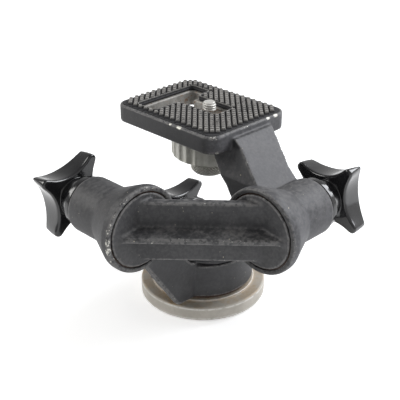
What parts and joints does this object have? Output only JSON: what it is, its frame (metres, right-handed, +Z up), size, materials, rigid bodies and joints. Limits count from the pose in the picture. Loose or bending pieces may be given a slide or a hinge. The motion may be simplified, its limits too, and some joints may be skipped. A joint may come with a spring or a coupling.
{
  "type": "three way pan tilt head",
  "caption": "Three way pan tilt head with two friction barrels at right angles, star knobs, a rubber-faced platform with a sliding camera screw, and a round base.",
  "frame": {"origin": "centre of the base's bottom face, on the pan axis", "axes": "+Z up the pan axis; +Y is the outward direction of the front tilt axis, towards its knob; +X is the outward direction of the side tilt axis"},
  "size_m": [0.1088, 0.1138, 0.0909],
  "materials": {
    "black_paint": "textured matt black paint, dusty and chipped at the edges",
    "bare_aluminium": "oxidised turned aluminium with brown stains",
    "steel": "turned steel",
    "brass": "turned brass",
    "nylon": "dark matt nylon",
    "rubber": "black toothed rubber, dusty",
    "knob_plastic": "glossy moulded black plastic",
    "plated_metal": "satin grey plated metal"
  },
  "bodies": {
    "root": {"base_disc": "bare_aluminium", "tripod_bush": "steel", "pan_spindle": "steel", "pan_wear_ring": "nylon", "spindle_washer": "steel", "spindle_nut": "steel"},
    "pan": {"lower_casting": "black_paint", "pan_cover_ring": "black_paint", "turret_cap": "black_paint", "pan_lock_bush": "brass", "front_seat_liner": "nylon", "front_pressure_washer": "steel"},
    "brake_shoe": {"pan_brake_shoe": "nylon"},
    "pan_knob": {"pan_lock_knob": "knob_plastic", "pan_lock_stud": "steel"},
    "link": {"cross_link": "black_paint", "front_draw_bolt": "steel", "side_draw_bolt": "steel"},
    "front_knob": {"front_tilt_knob": "knob_plastic", "front_knob_nut": "brass"},
    "platform": {"upper_casting": "black_paint", "platform_pad": "rubber", "side_seat_liner": "nylon", "side_pressure_washer": "steel"},
    "side_knob": {"side_tilt_knob": "knob_plastic", "side_knob_nut": "brass"},
    "slider": {"slot_slider": "steel", "slider_washer": "nylon"},
    "lock_wheel": {"camera_lock_wheel": "plated_metal"},
    "screw": {"camera_screw": "plated_metal", "camera_screw_knob": "plated_metal"}
  },
  "joints": [
    {"name": "pan", "type": "hinge", "parent": "root", "child": "pan", "pos_m": [0, 0, 0.01], "axis": [0, 0, 1], "continuous": true},
    {"name": "pan_lock", "type": "hinge", "parent": "pan", "child": "pan_knob", "pos_m": [0.0173, 0.0232, 0.0214], "axis": [0, 1, 0], "range_deg": [0, 270]},
    {"name": "pan_brake", "type": "slide", "parent": "pan", "child": "brake_shoe", "axis": [0, 1, 0], "range_m": [0, 0.00095]},
    {"name": "front_tilt", "type": "hinge", "parent": "pan", "child": "link", "pos_m": [-0.0498, -0.0142, 0.0561], "axis": [0, -1, 0], "range_deg": [-10, 90]},
    {"name": "front_lock", "type": "hinge", "parent": "pan", "child": "front_knob", "pos_m": [-0.0498, 0.0208, 0.0561], "axis": [0, 1, 0], "range_deg": [0, 270]},
    {"name": "side_tilt", "type": "hinge", "parent": "link", "child": "platform", "pos_m": [-0.0172, -0.0494, 0.0561], "axis": [1, 0, 0], "range_deg": [-7, 90]},
    {"name": "side_lock", "type": "hinge", "parent": "platform", "child": "side_knob", "pos_m": [0.0178, -0.0494, 0.0561], "axis": [1, 0, 0], "range_deg": [0, 270]},
    {"name": "screw_slide", "type": "slide", "parent": "platform", "child": "slider", "axis": [0, 1, 0], "range_m": [0, 0.018]},
    {"name": "wheel_turn", "type": "hinge", "parent": "slider", "child": "lock_wheel", "pos_m": [0.0125, 0.0084, 0.07], "axis": [0, 0, 1], "continuous": true},
    {"name": "screw_turn", "type": "hinge", "parent": "slider", "child": "screw", "pos_m": [0.0125, 0.0084, 0.06], "axis": [0, 0, 1], "continuous": true}
  ],
  "couplings": [
    {"joint": "pan_brake", "follows": "pan_lock", "m_per_rad": 0.00019894}
  ]
}
